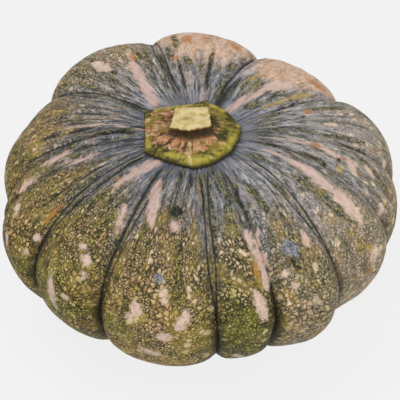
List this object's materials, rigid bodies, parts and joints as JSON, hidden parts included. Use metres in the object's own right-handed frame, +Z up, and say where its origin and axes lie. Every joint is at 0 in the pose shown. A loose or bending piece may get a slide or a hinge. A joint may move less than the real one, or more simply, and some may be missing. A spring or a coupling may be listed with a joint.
{
  "type": "kabocha squash",
  "caption": "Whole ribbed winter squash, flattened and lobed, with mottled green-grey skin and a short corky cut stalk; rests on its underside.",
  "frame": {"origin": "centre of the bounding box's base, on the surface that the squash rests on", "axes": "+Z up through the stalk; +Y towards the squash's longer, higher far side, its longest extent; +X to the right of the pictured side"},
  "size_m": [0.2244, 0.2414, 0.1143],
  "materials": {
    "skin": "hard waxy rind, satin, dark green net over buff with a blue-grey bloom and pink-buff patches",
    "cork": "dry, matt, olive and brown corky stalk with a pale straw cut face"
  },
  "bodies": {
    "root": {"fruit": "skin", "stalk": "cork"}
  },
  "joints": []
}
